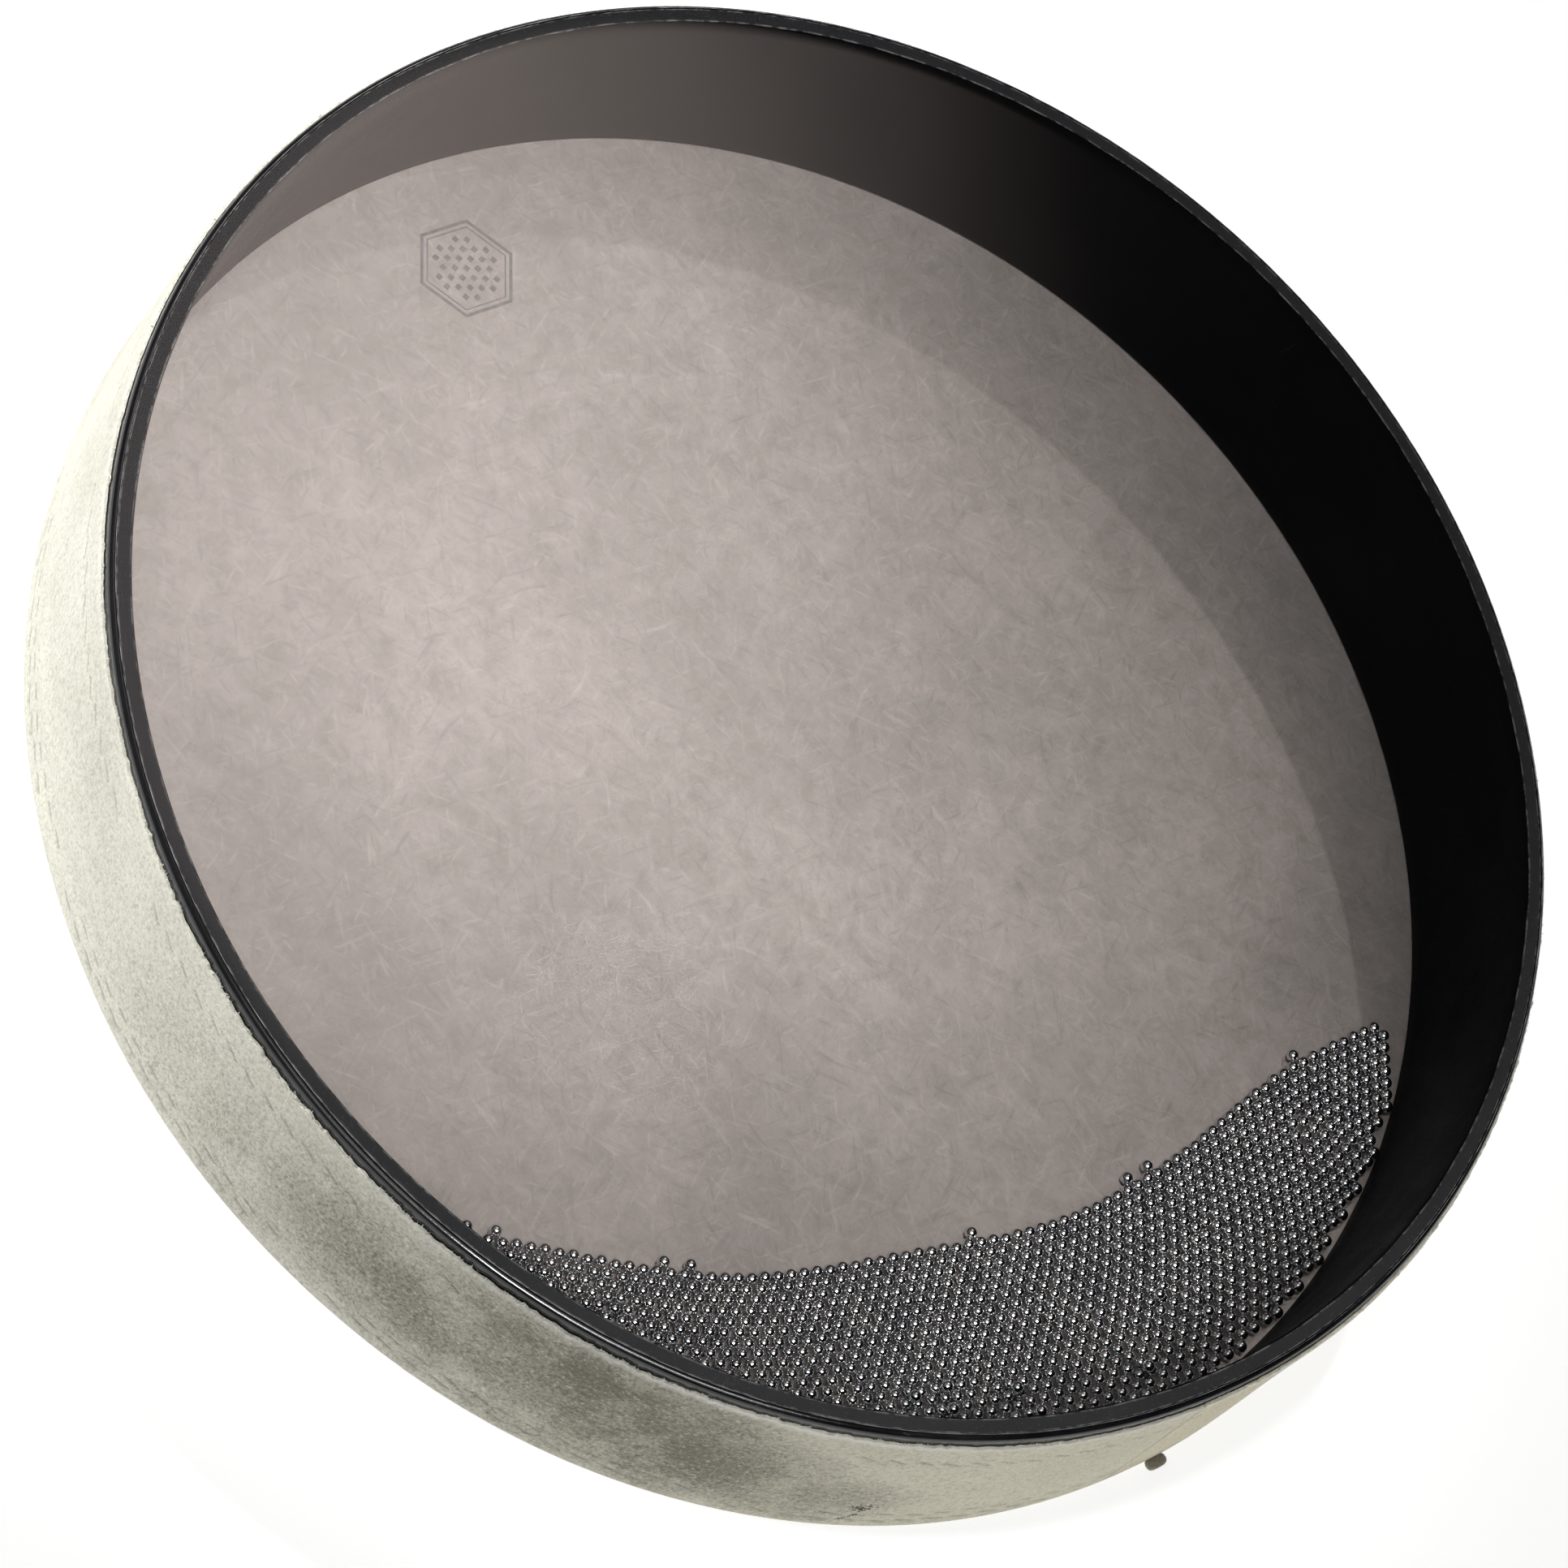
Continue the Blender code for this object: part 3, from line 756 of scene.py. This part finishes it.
def make_specks(material):
    """A cluster of small ink specks low on the wrap, and a short trail beside it."""
    rng = np.random.default_rng(5)
    vertices, faces = [], []
    places = [(rng.normal(0.0, 0.45), rng.normal(0.0, 0.40)) for _ in range(46)]
    places = [p for p in places if math.hypot(*p) < 1.15]
    places += [(0.15 - 0.16 * k + rng.normal(0, 0.05), -1.5 - 0.17 * k) for k in range(7)]
    for across, up in places:
        height = SPECK_HEIGHT + up * SPECK_SPREAD
        angle = SPECK_ANGLE + math.degrees(across * SPECK_SPREAD / WRAP_RADIUS)
        share = (height - WRAP_LOW) / (wrap_top(angle) - WRAP_LOW)
        radius = wrap_outside(angle, share)
        size = rng.uniform(0.15, 0.42) * MM
        start, sides = len(vertices), 7
        for depth in (-0.06 * MM, 0.05 * MM):
            for k in range(sides):
                turn = 2 * math.pi * k / sides
                wide = size * rng.uniform(0.75, 1.25)
                around = math.degrees(wide * math.cos(turn) / WRAP_RADIUS)
                point = on_circle(radius + depth, angle + around)
                vertices.append((*point, height + wide * math.sin(turn)))
        faces.append(tuple(start + k for k in reversed(range(sides))))
        faces.append(tuple(start + sides + k for k in range(sides)))
        for k in range(sides):
            after = (k + 1) % sides
            faces.append((start + k, start + after, start + sides + after, start + sides + k))
    specks = mesh_object("ink_specks", vertices, faces, [material], smooth=False)
    return place_piece(specks, "drum", "cream_fibre")


def make_tag(material):
    """The lump of wrap that is pinched out over the lower edge: a soft, slightly folded pad."""
    low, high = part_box("wrap_tag")
    middle, size = (low + high) / 2, high - low
    angle = math.atan2(middle.y, middle.x)
    bm = bmesh.new()
    bmesh.ops.create_icosphere(bm, subdivisions=4, radius=1.0)
    for vert in bm.verts:
        x, y, z = vert.co
        boxy = [math.copysign(abs(c) ** 0.72, c) for c in (x, y, z)]
        fold = 0.10 * math.sin(5.0 * y + 1.0) * (1.0 - abs(z))
        bump = 0.03 * math.sin(17.0 * x + 9.0 * z) * math.sin(13.0 * y)
        out = (boxy[0] * (1.0 + bump) * 1.75 - 0.40) * MM
        side = boxy[1] * (1.0 + bump) * 3.25 * MM
        up = (boxy[2] * 0.93 + fold) * 1.5 * MM
        vert.co = (
            middle.x + out * math.cos(angle) - side * math.sin(angle),
            middle.y + out * math.sin(angle) + side * math.cos(angle),
            max(middle.z + up, low.z),
        )
    mesh = bpy.data.meshes.new("wrap_nub")
    bm.to_mesh(mesh)
    bm.free()
    mesh.materials.append(material)
    mesh.shade_smooth()
    return place_piece(in_scene("wrap_nub", mesh), "drum", "cream_fibre", "wrap_tag")


# The balls

def cad_ball(number):
    """The centre of one of the frame's single balls."""
    low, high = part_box(f"steel_ball_{number:02d}")
    return (low + high) / 2


def bank_floor(lead):
    """Centres of the balls that lie on the skin head behind the leading ones.

    One more ball lies between each two leading ones, and a few lie ahead of them. The rest
    settle one by one: each next ball takes nearly the foremost free place that touches two
    others, or one and the wall.
    """
    rng = np.random.default_rng(3)
    pitch = 2 * BALL_RADIUS * BALL_PITCH_SHARE
    wall = INNER_RADIUS - BALL_RADIUS - WALL_CLEARANCE
    edge = [(p.x, p.y) for p in lead]
    settled, cells, waiting = [], {}, []

    def cell(x, y):
        return math.floor(x / pitch), math.floor(y / pitch)

    def near(x, y, reach):
        """The balls whose centres are within reach of a place."""
        column, row = cell(x, y)
        nearby = [(column + i, row + j) for i in range(-2, 3) for j in range(-2, 3)]
        around = [other for place in nearby for other in cells.get(place, ())]
        return [(a, b) for a, b in around if math.hypot(a - x, b - y) < reach]

    def behind(x, y):
        """How far a place is behind the line through the leading balls."""
        for (x0, y0), (x1, y1) in zip(edge, edge[1:]):
            if x <= x1 or (x1, y1) == edge[-1]:
                return y0 + (y1 - y0) / (x1 - x0) * (x - x0) - y

    def offer(x, y):
        """Add a place to the queue, the foremost first, a little out of order."""
        heapq.heappush(waiting, (behind(x, y) + rng.random() * BANK_DISORDER * pitch, x, y))

    def hold(x, y):
        """Put a ball in place and offer every place that touches it and another one."""
        for a, b in near(x, y, 2 * pitch):
            half = math.hypot(a - x, b - y) / 2
            rise = math.sqrt(max(pitch**2 - half**2, 0.0))
            for side in (-1, 1):
                offer(
                    (x + a) / 2 - side * rise * (b - y) / (2 * half),
                    (y + b) / 2 + side * rise * (a - x) / (2 * half),
                )
        reach = math.hypot(x, y)
        if wall - reach < pitch:
            cosine = (reach**2 + wall**2 - pitch**2) / (2 * reach * wall)
            for side in (-1, 1):
                turn = math.atan2(y, x) + side * math.acos(min(cosine, 1.0))
                offer(wall * math.cos(turn), wall * math.sin(turn))
        cells.setdefault(cell(x, y), []).append((x, y))

    for x, y in edge:
        hold(x, y)
    for (x0, y0), (x1, y1) in zip(edge, edge[1:]):
        x, y = (x0 + x1) / 2, (y0 + y1) / 2 - rng.random() * BANK_EDGE_DIP
        hold(x, y)
        settled.append((x, y))
    for number in sorted(rng.choice(len(lead) - 1, BANK_STRAYS, replace=False)):
        beside_rolling = any(abs(number + 1 - ball) <= 2 for ball in ROLLING_BALLS.values())
        first, second = Vector(edge[number]), Vector(settled[number])
        half = (second - first) / 2
        ahead = Vector((-half.y, half.x)).normalized() * math.sqrt(pitch**2 - half.length_squared)
        x, y = first + half + ahead
        if not beside_rolling and not near(x, y, pitch * 0.9999):
            hold(x, y)
            settled.append((x, y))
    while waiting:
        _, x, y = heapq.heappop(waiting)
        inside = math.hypot(x, y) <= wall + 0.001 * MM and behind(x, y) > 0.4 * pitch
        inside = inside and edge[0][0] - pitch < x < edge[-1][0] + pitch
        if inside and not near(x, y, pitch * 0.9999):
            hold(x, y)
            settled.append((x, y))
    return [Vector((x, y, BALL_HEIGHT)) for x, y in settled]


def bank_top(floor, lead):
    """Centres of the balls that lie in the hollows between three others, where the bank is deep."""
    rng = np.random.default_rng(8)
    pitch = 2 * BALL_RADIUS
    under = list(floor) + list(lead)
    tree = kdtree.KDTree(len(under))
    for index, place in enumerate(under):
        tree.insert(place, index)
    tree.balance()
    hollows = []
    for index, place in enumerate(floor):
        angle = math.degrees(math.atan2(place.y, place.x))
        if not (DEEP_FROM < angle < DEEP_TO and place.xy.length > DEEP_RADIUS):
            continue
        near = [o for _, o, d in tree.find_range(place, pitch * 1.12) if o > index]
        for one in near:
            for two in near:
                if one < two and (under[one] - under[two]).length < pitch * 1.12:
                    hollows.append((index, one, two))
    order = rng.permutation(len(hollows))
    tops = []
    for number in order:
        a, b, c = (under[i] for i in hollows[number])
        ab, ac = b - a, c - a
        across = ab.cross(ac)
        upward = -across if across.z < 0 else across
        shift = ac.length_squared * across.cross(ab) + ab.length_squared * ac.cross(across)
        centre = a + shift / (2 * across.length_squared)
        reach = (centre - a).length
        if reach >= pitch * 0.75:
            continue
        top = centre + upward.normalized() * math.sqrt((pitch * 1.004) ** 2 - reach**2)
        if top.xy.length > INNER_RADIUS - BALL_RADIUS - WALL_CLEARANCE:
            continue
        if rng.random() > (top.xy.length - 162 * MM) / (30 * MM):
            continue
        below = [ball for ball in under if (top - ball).xy.length < pitch]
        clear_below = all((top - ball).length >= pitch * 0.999 for ball in below)
        if clear_below and all((top - t).length >= pitch for t in tops):
            tops.append(top)
    return tops


def ball_shape(subdivisions, seed):
    """(vertices, faces) of one ball, with a few shallow dents from knocks."""
    bm = bmesh.new()
    bmesh.ops.create_icosphere(bm, subdivisions=subdivisions, radius=1.0)
    bm.verts.ensure_lookup_table()
    points = np.array([v.co for v in bm.verts])
    faces = np.array([[v.index for v in f.verts] for f in bm.faces])
    bm.free()
    rng = np.random.default_rng(seed)
    dents = rng.normal(size=(7, 3))
    dents /= np.linalg.norm(dents, axis=1)[:, None]
    for dent in dents:
        near = np.clip((points @ dent - 0.985) / 0.015, 0.0, 1.0)
        points *= (1.0 - 0.012 * near)[:, None]
    return points * BALL_RADIUS, faces


def turned_any_way(rng):
    """A random rotation matrix."""
    q = rng.normal(size=4)
    w, x, y, z = q / np.linalg.norm(q)
    first = [1 - 2 * (y * y + z * z), 2 * (x * y - z * w), 2 * (x * z + y * w)]
    second = [2 * (x * y + z * w), 1 - 2 * (x * x + z * z), 2 * (y * z - x * w)]
    third = [2 * (x * z - y * w), 2 * (y * z + x * w), 1 - 2 * (x * x + y * y)]
    return np.array([first, second, third])


def many_balls(name, centres, material, seed, subdivisions=3):
    """One mesh object that holds a ball at each centre, each turned its own way."""
    rng = np.random.default_rng(seed)
    points, triangles = ball_shape(subdivisions, seed)
    vertices = np.concatenate([points @ turned_any_way(rng).T + np.array(c) for c in centres])
    faces = np.concatenate([triangles + len(points) * i for i in range(len(centres))])
    mesh = bpy.data.meshes.new(name)
    mesh.vertices.add(len(vertices))
    mesh.vertices.foreach_set("co", vertices.astype(np.float32).ravel())
    mesh.loops.add(faces.size)
    mesh.loops.foreach_set("vertex_index", faces.astype(np.int32).ravel())
    mesh.polygons.add(len(faces))
    mesh.polygons.foreach_set("loop_start", np.arange(0, faces.size, 3, dtype=np.int32))
    mesh.update(calc_edges=True)
    mesh.validate()
    mesh.shade_smooth()
    mesh.materials.append(material)
    return in_scene(name, mesh)


def make_balls(material):
    """The bank in a few groups, the leading balls, and the four that roll on their own."""
    count = sum(1 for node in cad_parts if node.startswith("steel_ball_"))
    lead = [cad_ball(number) for number in range(1, count + 1)]
    floor = bank_floor(lead)
    tops = bank_top(floor, lead)
    behind = sorted(floor + tops, key=lambda p: math.atan2(p.y, p.x))
    print("balls behind the leading ones:", len(floor), "below and", len(tops), "on top")
    share = math.ceil(len(behind) / BALL_GROUPS)
    for group in range(BALL_GROUPS):
        centres = behind[group * share : (group + 1) * share]
        balls = many_balls(f"loose_balls_{group + 1}", centres, material, 20 + group)
        place_piece(balls, "wave", "steel", "ball_bank")
    rolling = set(ROLLING_BALLS.values())
    staying = [number for number in range(1, count + 1) if number not in rolling]
    edge = many_balls("leading_balls", [lead[n - 1] for n in staying], material, 40)
    place_piece(edge, "wave", "steel", *(f"steel_ball_{n:02d}" for n in staying))
    for seed, (letter, number) in enumerate(ROLLING_BALLS.items(), start=50):
        ball = many_balls(f"rolling_ball_{letter}", [lead[number - 1]], material, seed, 4)
        place_piece(ball, f"rolling_ball_{letter}", "steel", f"steel_ball_{number:02d}")


# The studio

CAMERA_AZIMUTH, CAMERA_ELEVATION, CAMERA_ROLL = -141.006, 54.568, -45.183
CAMERA_DISTANCE = 1.488
CAMERA_TARGET = Vector((-11.5 * MM, -13.6 * MM, 31.75 * MM))
CAMERA_LENS, CAMERA_SENSOR = 131.5, 36.0
WORLD_LOW, WORLD_HIGH = (0.9, 0.9, 0.9), (0.006, 0.006, 0.007)
# The bright side: its colour, its azimuth and elevation, and where it begins and is full
WORLD_GLOW, GLOW_CENTRE, GLOW_EDGE = (1.36, 1.17, 1.09), (65.0, 58.0), (17.0, 6.0)
SPOT_SOFTNESS = 0.14
FLOOR_HALF = 6.0
FLOOR_DROP = 0.05 * MM
BANK_AIM = Vector((45.0 * MM, -160.0 * MM, 0.0))


def make_camera():
    """The camera at the photo's viewing angle."""
    camera = bpy.data.cameras.new("camera")
    camera.lens = CAMERA_LENS
    camera.sensor_width = CAMERA_SENSOR
    camera.clip_start, camera.clip_end = 0.05, 50.0
    obj = in_scene("camera", camera)
    back = towards(CAMERA_AZIMUTH, CAMERA_ELEVATION)
    obj.location = CAMERA_TARGET + back * CAMERA_DISTANCE
    obj.rotation_mode = "QUATERNION"
    level = (-back).to_track_quat("-Z", "Y")
    roll = Quaternion((0.0, 0.0, 1.0), -math.radians(CAMERA_ROLL))
    obj.rotation_quaternion = level @ roll
    bpy.context.scene.camera = obj


def spot_light(name, azimuth, elevation, distance, aim, cone, power):
    """A soft round light whose beam fades out from its middle to its edge."""
    light = bpy.data.lights.new(name, "SPOT")
    light.shadow_soft_size = SPOT_SOFTNESS
    light.spot_size = math.radians(cone)
    light.spot_blend = 1.0
    light.energy = power
    obj = in_scene(name, light)
    obj.location = CAMERA_TARGET + towards(azimuth, elevation) * distance
    obj.rotation_mode = "QUATERNION"
    obj.rotation_quaternion = (obj.location - Vector(aim)).to_track_quat("Z", "Y")
    obj.visible_glossy = False


def area_light(name, azimuth, elevation, distance, size, power, glossy=True, diffuse=True, **more):
    """A flat lamp: a small disc, a square, or a rectangle if more gives it a height.

    more may also give its aim, and its spread, the full angle that its light leaves in. glossy
    and diffuse say which kinds of surface it lights.
    """
    light = bpy.data.lights.new(name, "AREA")
    light.shape = "DISK" if size < 0.2 else "SQUARE"
    light.size = size
    if "height" in more:
        light.shape = "RECTANGLE"
        light.size_y = more["height"]
    light.spread = math.radians(more.get("spread", 180.0))
    light.energy = power
    obj = in_scene(name, light)
    direction = towards(azimuth, elevation)
    obj.location = more.get("aim", CAMERA_TARGET) + direction * distance
    obj.rotation_mode = "QUATERNION"
    obj.rotation_quaternion = direction.to_track_quat("Z", "Y")
    obj.visible_camera = False
    obj.visible_glossy = glossy
    obj.visible_diffuse = diffuse


def make_world():
    """Dark surroundings overhead, pale ones low down, and one broad bright side high behind."""
    world = bpy.data.worlds.new("studio")
    bpy.context.scene.world = world
    world.use_nodes = True
    tree = world.node_tree
    place = tree.nodes.new("ShaderNodeTexCoord").outputs["Generated"]

    def smooth_step(value, low, high):
        node = tree.nodes.new("ShaderNodeMapRange")
        node.interpolation_type = "SMOOTHSTEP"
        tree.links.new(value, node.inputs["Value"])
        node.inputs["From Min"].default_value = low
        node.inputs["From Max"].default_value = high
        return node.outputs["Result"]

    def blend(share, first, second):
        node = tree.nodes.new("ShaderNodeMix")
        node.data_type = "RGBA"
        for index, value in ((0, share), (6, first), (7, second)):
            feed(tree, node.inputs[index], value)
        return node.outputs[2]

    def facing(direction):
        node = tree.nodes.new("ShaderNodeVectorMath")
        node.operation = "DOT_PRODUCT"
        tree.links.new(place, node.inputs[0])
        node.inputs[1].default_value = direction
        return node.outputs["Value"]

    def patch(direction, begins, full):
        """1 within full degrees of a direction, and 0 beyond where it begins."""
        far, near = math.cos(math.radians(begins)), math.cos(math.radians(full))
        return smooth_step(facing(direction), far, near)

    room = blend(smooth_step(facing((0.0, 0.0, 1.0)), 0.06, 0.20), WORLD_LOW, WORLD_HIGH)
    room = blend(patch(towards(*GLOW_CENTRE), *GLOW_EDGE), room, WORLD_GLOW)
    background = tree.nodes["Background"]
    tree.links.new(room, background.inputs["Color"])
    background.inputs["Strength"].default_value = 1.0


def make_floor():
    """A wide pale floor, just under the drum."""
    s = Surface("pale_floor", roughness=0.9, specular_ior_level=0.1)
    s.set("Base Color", s.mix(s.noise(3.0, 3.0), (0.50, 0.50, 0.50), (0.52, 0.52, 0.52)))
    s.set("Emission Color", (1.0, 1.0, 1.0))
    s.set("Emission Strength", 0.80)
    corners = [(x * FLOOR_HALF, y * FLOOR_HALF, 0.0) for x, y in ((-1, -1), (1, -1), (1, 1), (-1, 1))]
    floor = mesh_object("studio_floor", corners, [(0, 1, 2, 3)], [s.material], smooth=False)
    floor.location.z = -FLOOR_DROP


def make_lights():
    """Two spots and four lamps that gloss doesn't show, and four lamps that only gloss shows."""
    # name, azimuth, elevation, distance, aim, cone, power
    spot_light("overhead_spot", 185.0, 78.0, 0.9, (-50.0 * MM, 82.0 * MM, 0.0), 32.5, 55.0)
    spot_light("low_spot", 185.0, 78.0, 0.9, (0.0, -98.0 * MM, 0.0), 12.5, 56.0)
    # name, azimuth, elevation, distance, size, power
    area_light("front_fill", -140.0, 60.0, 1.9, 0.6, 1.0, glossy=False)
    area_light("back_lamp", 50.0, 50.5, 2.2, 0.05, 10.5, glossy=False)
    area_light("left_card", 139.0, 7.0, 1.4, 0.5, 12.5, glossy=False)
    area_light("right_card", -38.0, 8.0, 1.5, 0.4, 1.8, glossy=False)
    area_light("front_softbox", -118.0, 64.0, 1.0, 0.8, 3.0, diffuse=False)
    area_light("rim_strip", -89.0, 62.0, 1.0, 0.36, 2.0, height=0.07, diffuse=False)
    beam = {"aim": BANK_AIM, "spread": 20.0}
    area_light("bank_softbox", -118.0, 64.0, 1.0, 0.35, 0.33, diffuse=False, **beam)
    area_light("dim_ceiling", -168.0, 58.0, 1.1, 1.9, 1.6, diffuse=False)


make_camera()
make_world()
make_floor()
make_lights()
bpy.context.scene.view_settings.view_transform = "Standard"

make_hoop(hoop_wall_material(), hoop_corner_material())
make_glue_line(glue_line_material())
make_heads(film_material(), film_edge_material(), skin_material())
make_mark(mark_material())
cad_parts["lower_bond"].data.materials.clear()
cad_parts["lower_bond"].data.materials.append(bond_material())

wrap = make_wrap(wrap_material())
tufts = make_tufts(fibre_material("torn_fibre", (0.95, 0.94, 0.89), (0.84, 0.82, 0.73)))
specks = make_specks(ink_material())
nub = make_tag(fibre_material("nub_fibre", (0.36, 0.33, 0.25), (0.22, 0.20, 0.15)))

make_balls(steel_material())
